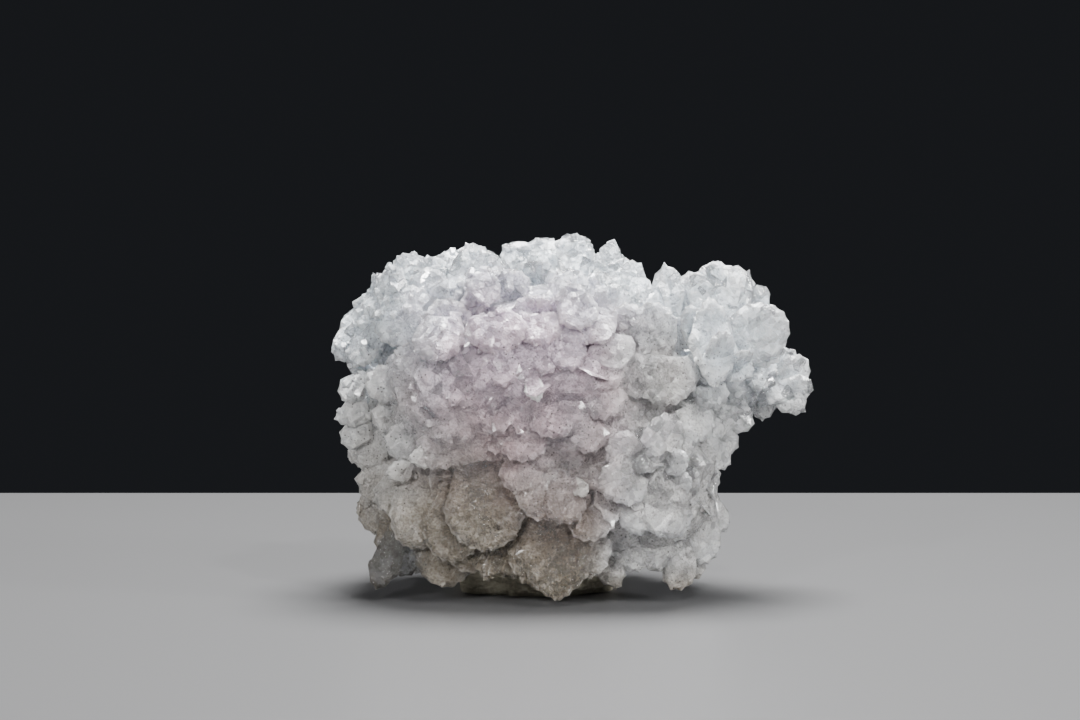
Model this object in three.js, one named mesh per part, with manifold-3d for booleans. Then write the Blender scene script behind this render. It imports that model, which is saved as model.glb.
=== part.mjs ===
// A palm-sized amethyst cluster: a crowd of stubby, flattened quartz blades that lean away from their growth
// heads, all grown together into one solid, on a small foot of dark matrix stone. Millimetres, +Z up, the
// broad front faces -Y. The origin is the centre of the flat face that the stone rests on.
import * as THREE from "three";
import { mergeVertices } from "three/addons/utils/BufferGeometryUtils.js";
import Module from "manifold-3d";

const wasm = await Module();
wasm.setup();

// The matrix stone: its width and depth, how tall it is with the part that is grown over, how rough, and the
// seam between it and the quartz.
const STONE = { wide: 21.6, deep: 19, tall: 9.5, lumps: 0.9, seam: 0.3 };

// A crystal blade. Its point rises by a fixed share of its width, as crystals' points do.
const BLADE = {
  flatness: 0.6, // thickness over width
  rootWidth: 0.7, // width at the root, over full width
  point: 0.5, // how far below the tip it reaches full width, over that width
  roundFrom: 6, // a blade this broad rounds over in a further ring,
  brow: 0.2, // so far below the tip, over its width,
  browWidth: 0.62, // and so wide, over full width
  buried: 0.2, // how far a placed blade's root reaches on towards the middle of the core
};

// The solid quartz that the blades grow from, as rounded boxes: half sizes, how square, how many blades cover
// it by themselves, and how far those rise above it.
const CORES = [
  { name: "mass", centre: [-0.5, 0, 23], half: [19.5, 14.5, 16.2], power: 3, cover: 88, rise: 5 },
  { name: "flower", centre: [22, -0.5, 31.5], half: [6.3, 6, 6.8], power: 2, cover: 14, rise: 3.2 },
  { name: "tip", centre: [28.5, -1, 26.5], half: [3.6, 3.4, 3.2], power: 2, cover: 4, rise: 2.2 },
];
const CORE_DETAIL = 2;

// The covering blades, as shares of the rise of their core.
const COVER = {
  broad: 1.9,
  broadSpread: 0.25,
  riseSpread: 0.2,
  lean: 0.8, // how far they lean away from the nearest growth head, over how far they stand up
  leanSpread: 0.4,
  depth: 0.7, // how deep the root is buried
  elbow: 0.9, // none stands nearer than this to a placed blade
};
const GOLDEN_ANGLE = Math.PI * (3 - Math.sqrt(5));
const LOWEST_TIP = 1.2; // covering blades keep this far above the surface that the stone rests on
const SEED = 10;

// Growth heads. at: the middle that a head's blades lean away from. blades: the ones that show most, each
// [name, tip, root, width].
const HEADS = [
  {
    name: "right_flower",
    at: [23, -10, 31.5],
    blades: [
      ["keel", [22, -13, 26.5], [22, -8, 33.5], 7],
      ["fan_top", [23, -3, 41.5], [22.5, -4, 34.5], 8.5],
      ["wing_right", [31.5, -5, 35.5], [24.5, -6, 32.5], 6],
      ["spike_left", [16.5, -2, 41], [18.5, -4, 35], 4],
      ["leaf_left", [18, -9, 37], [21, -9, 29.5], 5.5],
      ["heart_point", [22.5, -15, 33], [23, -8, 28.5], 4.5],
      ["leaf_low", [27, -9, 28], [23.5, -8, 30.5], 5],
    ],
  },
  {
    name: "far_right_tip",
    at: [31, -4, 26.5],
    blades: [
      ["tooth_high", [32, -2, 30], [29, -2, 27], 4.5],
      ["tooth_mid", [35, -2, 28.5], [30, -2, 26.5], 4.5],
      ["tooth_low", [35, -3, 26], [30, -2, 26], 4],
      ["prism", [32.5, -4, 22.5], [29, -1, 25.5], 4.5],
      ["apron", [29.5, -6, 23.5], [28, -2, 26.5], 4],
    ],
  },
  {
    name: "shoulder",
    at: [13, -15, 30],
    blades: [
      ["shield", [15, -13, 37], [15, -13, 29], 6.5],
      ["shield_low", [16.5, -16, 24.5], [16, -14, 29.5], 8.5],
      ["block", [7.5, -17, 32], [7.5, -13, 35], 4.5],
      ["plate_left", [6, -17, 33], [5, -13, 35.5], 5.5],
    ],
  },
  {
    name: "crown_front",
    at: [-1, -14, 37],
    blades: [
      ["arch_low", [-0.5, -13, 37.5], [-0.5, -13, 34], 5],
      ["step_left", [-4.5, -19, 31], [-5.5, -14, 35], 8],
      ["step_right", [1, -18, 32], [0.5, -14, 35], 6],
      ["shard", [8.5, -6, 40.5], [6.5, -9, 37], 5],
    ],
  },
  {
    name: "upper_left",
    at: [-13, -14, 34],
    blades: [
      ["disc_rim", [-12.5, -18, 30], [-12, -13, 35], 6.5],
      ["disc_low", [-17.5, -13, 31.5], [-17, -9, 37], 7],
      ["disc_top", [-11, -13, 37.5], [-10.5, -13, 34], 5.5],
    ],
  },
  {
    name: "crown",
    at: [2, 2, 43],
    blades: [
      ["crest_middle_left", [-2.5, 4, 44.5], [-1.5, 2, 40], 4.5],
      ["crest_middle", [1.5, 4, 44.5], [1, 2, 40], 4.5],
      ["crest_right", [5.5, 2, 44.5], [4.5, 1, 40.5], 4.5],
      ["crest_peak", [10.5, -1, 43.5], [8.5, -2, 40], 3.5],
      ["crest_end", [13, -2, 41.5], [11, -3, 38.5], 3.5],
      ["crest_left", [-7, 4, 43], [-6.5, 1, 39.5], 4.5],
      ["crest_far_left", [-10.5, 1, 43], [-10, -2, 40], 4],
      ["crest_slope", [-17, -2, 42], [-15.5, -4, 38.5], 4.5],
      ["crest_foot", [-20.5, -3, 39.5], [-17.5, -5, 37], 4.5],
    ],
  },
  {
    name: "left_rim",
    at: [-24, -4, 28],
    blades: [
      ["long_blade", [-26, -4, 31.5], [-20, -6, 36], 6],
      ["long_blade_under", [-25, -6, 29.5], [-20.5, -7, 32.5], 4],
      ["tooth_high", [-24.5, -8, 24.5], [-21.5, -9, 26.5], 3.5],
      ["tooth_mid", [-25, -8, 22], [-21.5, -9, 22.5], 3.5],
      ["tooth_low", [-24.5, -8, 20], [-21, -9, 19.5], 3.5],
      ["keel_low", [-22, -9, 16], [-20, -9, 20.5], 4.5],
    ],
  },
  {
    name: "middle",
    at: [-1, -19, 27],
    blades: [
      ["scale_left", [-8.5, -21, 24.5], [-6.5, -16, 29.5], 7],
      ["bright_facet", [0, -22, 25.5], [-1.5, -17, 29], 4.5],
      ["scale_right", [9, -19, 26.5], [7, -15, 31], 7.5],
      ["scale_middle", [2, -21, 21], [1.5, -17, 26], 8.5],
      ["scale_low_left", [-4.5, -20, 21], [-4.5, -17, 26], 7],
    ],
  },
  {
    name: "left_face",
    at: [-17, -13, 22],
    blades: [
      ["plate_high", [-21, -12, 26.5], [-15.5, -12, 27.5], 5],
      ["plate_low", [-18, -15, 20], [-14, -14, 21], 5.5],
      ["plate_inner", [-14, -17, 23], [-12, -15, 25], 6.5],
    ],
  },
  {
    name: "lower_left",
    at: [-11, -15, 14],
    blades: [
      ["shell", [-5.5, -19, 8], [-7.5, -14, 16], 8],
      ["skirt_left", [-12.5, -15, 3], [-10, -12, 7.5], 5.5],
      ["skirt_right", [-8.5, -15, 3.5], [-8.5, -12, 7.5], 5],
      ["claw", [-20, -13, 2], [-16, -11, 8], 4],
      ["flank_low", [-23, -7, 6.5], [-20, -8, 12.5], 5],
      ["flank_high", [-22, -9, 11.5], [-19.5, -9, 15.5], 5],
    ],
  },
  {
    name: "lower_middle",
    at: [3, -17, 13],
    blades: [
      ["fan", [3, -20, 1.5], [1.5, -14, 10.5], 7],
      ["fan_far_left", [-3.5, -16, 3], [-2.5, -12, 9], 6],
      ["fan_left", [0.5, -18, 2], [0.5, -14, 9.5], 6],
      ["fan_right", [6, -18, 3], [4, -14, 9.5], 5.5],
      ["tooth_outer", [12, -15, 3.5], [10.5, -12, 9], 5.5],
      ["lip_left", [0, -21, 11.5], [1.5, -15, 15.5], 6],
      ["lip_middle", [3.5, -21, 11], [3.5, -15, 15], 5],
      ["lip_right", [7.5, -21, 9], [6, -15, 13.5], 6],
    ],
  },
  {
    name: "lower_right",
    at: [14, -17, 16],
    blades: [
      ["crest", [14.5, -20, 23.5], [15.5, -17, 19], 5.5],
      ["pebble_low", [7.5, -21, 15.5], [11.5, -16, 16], 5.5],
      ["apron", [16, -19, 8.5], [15.5, -13, 13.5], 7],
    ],
  },
  {
    name: "right_wall",
    at: [23, -6, 14],
    blades: [
      ["tall", [21, -12, 4.5], [21, -9, 12], 5.5],
      ["sugar_middle", [17.5, -14, 1.5], [18, -11, 6.5], 5],
      ["sugar_right", [20.5, -12, 2.5], [19, -10, 6.5], 3.5],
      ["edge_top", [28, -4, 21.5], [24.5, -4, 22], 3.5],
      ["edge_high", [25.5, -5, 18.5], [22.5, -5, 20], 3.5],
      ["edge_low", [23, -7, 12.5], [21, -7, 14.5], 4],
      ["edge_foot", [23.5, -8, 8.5], [21, -8, 11], 4.5],
    ],
  },
  { name: "flower_back", at: [24, 8, 33] },
  { name: "back_crown_left", at: [-9, 12, 38] },
  { name: "back_crown_right", at: [9, 12, 37] },
  { name: "back_left", at: [-20, 10, 26] },
  { name: "back_middle", at: [-1, 18, 25] },
  { name: "back_right", at: [20, 11, 22] },
  { name: "back_low_left", at: [-12, 14, 12] },
  { name: "back_low_right", at: [10, 15, 11] },
];

const vector = (xyz) => new THREE.Vector3(...xyz);

// A repeatable stream of numbers from -1 to 1.
function wobbleStream(seed) {
  let state = seed;
  return () => {
    state = (Math.imul(state, 1664525) + 1013904223) >>> 0;
    return state / 2147483648 - 1;
  };
}

function solidOf(geometry) {
  const bare = geometry.clone();
  bare.deleteAttribute("normal");
  bare.deleteAttribute("uv");
  const merged = mergeVertices(bare, 1e-4);
  return new wasm.Manifold(
    new wasm.Mesh({
      numProp: 3,
      vertProperties: merged.attributes.position.array,
      triVerts: new Uint32Array(merged.index.array),
    }),
  );
}

function geometryOf(solid) {
  const { numProp, numVert, vertProperties, triVerts } = solid.getMesh();
  const places = new Float32Array(numVert * 3);
  for (let i = 0; i < numVert; i++) {
    places.set(vertProperties.subarray(i * numProp, i * numProp + 3), i * 3);
  }
  const geometry = new THREE.BufferGeometry();
  geometry.setAttribute("position", new THREE.BufferAttribute(places, 3));
  geometry.setIndex(new THREE.BufferAttribute(triVerts, 1));
  geometry.computeVertexNormals();
  return geometry;
}

// A closed six-sided blade from the origin to (0, 0, length), flattened along Y. rings: [height, width], from
// the root to the last ring below the point.
function bladeGeometry(length, rings) {
  const SIDES = 6;
  const points = [];
  for (const [height, width] of rings) {
    for (let k = 0; k < SIDES; k++) {
      const angle = (k * Math.PI) / 3;
      points.push((width / 2) * Math.cos(angle), (width / 2) * BLADE.flatness * Math.sin(angle), height);
    }
  }
  const tip = points.push(0, 0, length) / 3 - 1;
  const last = (rings.length - 1) * SIDES;
  const faces = [];
  for (let k = 0; k < SIDES; k++) {
    const next = (k + 1) % SIDES;
    if (k > 1) faces.push(0, k, k - 1);
    for (let ring = 0; ring < last; ring += SIDES) {
      faces.push(ring + k, ring + next, ring + SIDES + next);
      faces.push(ring + k, ring + SIDES + next, ring + SIDES + k);
    }
    faces.push(last + k, last + next, tip);
  }
  const geometry = new THREE.BufferGeometry();
  geometry.setAttribute("position", new THREE.Float32BufferAttribute(points, 3));
  geometry.setIndex(faces);
  return geometry;
}

// A blade from root to tip whose flat face turns as far as it can towards facing.
function bladeSolid({ root, tip, broad, facing }) {
  const along = tip.clone().sub(root);
  const length = along.length();
  along.normalize();
  const across = facing.clone().cross(along).normalize();
  const flat = along.clone().cross(across);
  const turn = new THREE.Matrix4().makeBasis(across, flat, along).setPosition(root);
  const shoulder = Math.max(length / 4, length - BLADE.point * broad);
  const rings = [[0, broad * BLADE.rootWidth], [shoulder, broad]];
  if (broad >= BLADE.roundFrom) rings.push([length - BLADE.brow * broad, broad * BLADE.browWidth]);
  return solidOf(bladeGeometry(length, rings).applyMatrix4(turn));
}

// How far out from a core's middle a point lies: 1 at its surface.
function outness({ centre, half, power }, point) {
  const from = point.clone().sub(vector(centre)).divide(vector(half)).toArray();
  return from.reduce((sum, part) => sum + Math.abs(part) ** power, 0) ** (1 / power);
}

// The way a core's surface faces near a point.
function facingAt({ centre, half, power }, point) {
  const from = point.clone().sub(vector(centre)).divide(vector(half)).toArray();
  const slopes = from.map((part, i) => (Math.sign(part) * Math.abs(part) ** (power - 1)) / half[i]);
  return vector(slopes).normalize();
}

function nearest(list, distance) {
  return list.reduce((near, other) => (distance(other) < distance(near) ? other : near));
}

// The blades that are placed one by one.
const PLACED = HEADS.flatMap(({ blades = [] }) =>
  blades.map(([, tip, base, broad]) => {
    const root = vector(base);
    const core = nearest(CORES, (each) => outness(each, root));
    const facing = facingAt(core, root);
    return { tip: vector(tip), root: root.lerp(vector(core.centre), BLADE.buried), broad, facing };
  }),
);

// The blades that cover a core by themselves, spread over it evenly by the golden angle.
function coveringBlades(core, wobble) {
  const blades = [];
  for (let i = 0; i < core.cover; i++) {
    const back = 1 - (2 * (i + 0.5)) / core.cover;
    const round = Math.sqrt(1 - back * back);
    const turn = i * GOLDEN_ANGLE;
    const base = new THREE.Vector3(round * Math.cos(turn), back, round * Math.sin(turn));
    base.multiply(vector(core.half)).add(vector(core.centre));
    base.lerp(vector(core.centre), 1 - 1 / outness(core, base));
    const rise = core.rise * (1 + wobble() * COVER.riseSpread);
    const broad = core.rise * COVER.broad * (1 + wobble() * COVER.broadSpread);
    const facing = facingAt(core, base);
    const head = nearest(HEADS, ({ at }) => base.distanceTo(vector(at)));
    const lean = base.clone().sub(vector(head.at)).projectOnPlane(facing).normalize();
    lean.addScaledVector(new THREE.Vector3(wobble(), wobble(), wobble()), COVER.leanSpread);
    const along = facing.clone().addScaledVector(lean, COVER.lean);
    const tip = base.clone().addScaledVector(along, rise);
    const root = base.addScaledVector(along.normalize(), -core.rise * COVER.depth);
    const crowded = PLACED.some((blade) => blade.tip.distanceTo(tip) < core.rise * COVER.elbow);
    const inside = CORES.some((other) => other !== core && outness(other, tip) < 1);
    if (!crowded && !inside && tip.z >= LOWEST_TIP) blades.push({ tip, root, broad, facing });
  }
  return blades;
}

// Moves a unit sphere's points out to a rounded box's.
function squareUp(geometry, power) {
  const places = geometry.attributes.position;
  const unit = { centre: [0, 0, 0], half: [1, 1, 1], power };
  const point = new THREE.Vector3();
  for (let i = 0; i < places.count; i++) {
    point.fromBufferAttribute(places, i);
    point.divideScalar(outness(unit, point));
    places.setXYZ(i, ...point);
  }
  return geometry;
}

function coreSolid({ centre, half, power }) {
  const geometry = squareUp(new THREE.IcosahedronGeometry(1, CORE_DETAIL), power);
  return solidOf(geometry.scale(...half).translate(...centre));
}

// The matrix stone, a lumpy pebble cut off flat where it rests. grow widens it all round.
function stoneSolid(grow) {
  const geometry = squareUp(new THREE.IcosahedronGeometry(1, 3), 3);
  const places = geometry.attributes.position;
  const half = vector([STONE.wide / 2, STONE.deep / 2, STONE.tall * 0.6]);
  const point = new THREE.Vector3();
  for (let i = 0; i < places.count; i++) {
    point.fromBufferAttribute(places, i);
    const lump = Math.sin(5 * point.x + 1) * Math.sin(4 * point.y + 2 * point.z) - 1;
    point.multiply(half.clone().addScalar(grow + (lump * STONE.lumps) / 2));
    places.setXYZ(i, ...point);
  }
  geometry.translate(0, 0, STONE.tall * 0.4);
  const SLAB = 40;
  const below = new THREE.BoxGeometry(SLAB, SLAB, SLAB).translate(0, 0, -SLAB / 2 - grow);
  return solidOf(geometry).subtract(solidOf(below));
}

// The biggest skin of a solid by itself: hollows that were sealed in between blades are filled.
function outerBody(solid) {
  return nearest(solid.decompose(), (body) => -body.volume());
}

function amethystCrystals() {
  const wobble = wobbleStream(SEED);
  const covering = CORES.flatMap((core) => coveringBlades(core, wobble));
  const pieces = [...CORES.map(coreSolid), ...[...PLACED, ...covering].map(bladeSolid)];
  const solid = outerBody(outerBody(wasm.Manifold.union(pieces)).subtract(stoneSolid(STONE.seam)));
  const quartz = new THREE.MeshStandardMaterial({ color: 0xc6bfc6, roughness: 0.35, metalness: 0 });
  const mesh = new THREE.Mesh(geometryOf(solid), quartz);
  mesh.name = "amethyst_crystals";
  return mesh;
}

function matrixStone() {
  const stone = new THREE.MeshStandardMaterial({ color: 0x4b4a40, roughness: 0.9, metalness: 0 });
  const mesh = new THREE.Mesh(geometryOf(stoneSolid(0)), stone);
  mesh.name = "matrix_stone";
  return mesh;
}

const cluster = new THREE.Group();
cluster.add(amethystCrystals(), matrixStone());

export default cluster;
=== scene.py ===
"""A palm-sized amethyst cluster on its foot of matrix stone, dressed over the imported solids."""

import math

import bmesh
import bpy
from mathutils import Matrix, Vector, noise

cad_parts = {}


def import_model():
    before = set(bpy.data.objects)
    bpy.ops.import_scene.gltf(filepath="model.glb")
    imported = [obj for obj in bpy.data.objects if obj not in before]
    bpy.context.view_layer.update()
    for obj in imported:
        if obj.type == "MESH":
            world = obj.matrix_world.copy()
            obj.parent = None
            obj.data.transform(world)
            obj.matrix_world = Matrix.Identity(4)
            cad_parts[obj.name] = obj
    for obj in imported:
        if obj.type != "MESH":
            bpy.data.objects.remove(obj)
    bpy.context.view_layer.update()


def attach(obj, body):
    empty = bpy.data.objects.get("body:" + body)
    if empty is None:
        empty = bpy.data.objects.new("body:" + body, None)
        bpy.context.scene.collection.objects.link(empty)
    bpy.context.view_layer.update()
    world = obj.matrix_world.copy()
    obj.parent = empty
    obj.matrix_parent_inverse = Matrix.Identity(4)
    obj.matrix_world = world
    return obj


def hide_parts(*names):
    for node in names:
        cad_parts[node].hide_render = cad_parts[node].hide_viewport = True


MM = 0.001

# ---- The layout of the cluster, in millimetres -------------------------------------------------------------

# The matrix stone. half_tall: half of its height before it is cut off flat, over its height, and middle: how
# high the middle of that shape lies. power: how boxy it is, 2 being round. skin: how far it stands out before
# its pits are cut. seam: the gap between it and the quartz.
STONE = {"wide": 21.6, "deep": 19.0, "tall": 9.5, "half_tall": 0.6, "middle": 0.4, "power": 4, "lumps": 0.9,
         "skin": 0.1, "pits": 0.5, "seam": 0.3}
# Its pits: their noise, in the terms of noise.fractal, and the level above which the stone stays whole.
PITS = {"scale": 3.1, "h": 0.9, "lacunarity": 2.2, "octaves": 5, "level": 0.45}

# The solid quartz that the petals grow from, as rounded boxes. cover: how many petals cover it by themselves.
# rise: how far those stand out. coat: how densely small petals grow on it.
CORES = {
    "mass": {"centre": (-0.5, 0, 23), "half": (19.5, 14.5, 16.2), "power": 3,
             "cover": 88, "rise": 5, "coat": 1.0},
    "flower": {"centre": (22, -0.5, 31.5), "half": (6.3, 6, 6.8), "power": 2,
               "cover": 14, "rise": 3.2, "coat": 0.3},
    "tip": {"centre": (28.5, -1, 26.5), "half": (3.6, 3.4, 3.2), "power": 2,
            "cover": 4, "rise": 2.2, "coat": 0.2},
}
# Quartz that fills the front between the roots of the placed petals.
FILLS = {
    "face": {"centre": (-1.5, -7.5, 24.5), "half": (17.5, 11, 13), "power": 2.4, "coat": 0.6},
    "lap": {"centre": (1.5, -6, 14.5), "half": (19, 10.8, 8.5), "power": 2.4, "coat": 0.6},
    "bulge": {"centre": (14.5, -9.5, 14.5), "half": (7.5, 7.8, 9), "power": 2.2, "coat": 0.3},
}
# The flat faces that a core's surface is broken into. shuffle: spreads their random tilts. outwards: how far
# small crystals on a core point straight out, over how far they lean away from their head.
CORE_FACES = {"width": 4.2, "tilt": 0.9, "shuffle": 9, "outwards": 0.6}

# The petals that cover a core by themselves. Lengths are shares of the core's rise.
COVER = {
    "front": -0.45,  # where the core faces further forward than this, they leave it to the placed petals
    "broad": 1.9, "broad_spread": 0.25, "rise_spread": 0.2,
    "lean": 0.8, "lean_spread": 0.4,  # away from the middle of their head
    "depth": 0.7,  # how deep in the core their roots lie
    "elbow": 0.9,  # how far they keep away from the tips of placed petals
    "trimmed": 0.88,  # their rise and width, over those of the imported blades
    "pointed": 0.6, "coat": 0.4,
}
LOWEST_TIP = 1.2  # no covering petal reaches lower
GOLDEN_ANGLE = math.pi * (3 - math.sqrt(5))
SEED = 10

# A placed petal. buried: how far its root reaches on backwards, over its length. turned: how far its broad
# face is turned to the front.
PLACED = {"buried": 0.2, "turned": 0.9, "coat": 0.04}
FRONT = (0, -1, 0.1)
# The stalk that joins it to its core. inward: how far it reaches towards the core's middle. overlap: how far
# up the petal it reaches. width: over the petal's.
STALK = {"inward": 0.35, "overlap": 0.15, "width": 0.65, "pointed": 0.5, "tooth": 2.5, "coat": 0.06}
# The petals of the front lie back against the mass. Where a root's y is below front, the tip stands out from
# it by only this share of what its row says, other than on the bright flakes with their painted glints.
RAKE = {"front": -10, "share": 0.72}

# The tones of the placed petals that stand out: dark below 0, pale above 0 and whitened above 1, as
# frost and, on the bright flakes, as painted glints. Those of the other petals are random, from -1 to 1.
TONES_AND_GLINTS = {
    "bright_facet": 2.7, "chip_white": 2.4, "glint_high": 2.2, "glint_low": 2.2, "chip_high": 2.2,
    "chip_low": 2.2, "tooth_high": 2.0, "tooth_mid": 2.0, "tooth_low": 2.0, "prism": 1.9, "fan_top": 1.8,
    "fan_top_left": 1.8, "fan_top_right": 1.8, "spike_left": 1.8, "crest_side": 1.5, "wing_right": 1.4,
    "prism_wide": 1.4, "wing_low": 1.2, "crest": 1.1, "apron_left": 1.0, "disc_rim": 1.0, "heart_point": 1.0,
    "step_left": 0.9, "step_right": 0.9, "keel": 0.9, "lens": 0.9, "neck": 0.8, "apron": 0.5,
    "pebble_high": 0.4, "pebble_low": 0.4, "leaf_middle": 0.2, "skirt_right": -0.4, "fan_right": -0.4,
    "finger": -0.5, "shell": -0.5, "leaf_left": -0.6, "tooth_inner": -0.6, "fan_left": -0.8,
    "fan_far_left": -0.8, "leaf_low": -0.8, "disc_low": -0.8, "claw": -1.0, "fan": -1.1, "shield_left": -1.2,
    "shield_low": -1.5, "web": -1.5, "shield": -2.0, "claw_inner": -2.0,
}
PAINTED_GLINT_TONE = 2.1  # petals of this tone or more are bright flakes, painted white as glints
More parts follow.
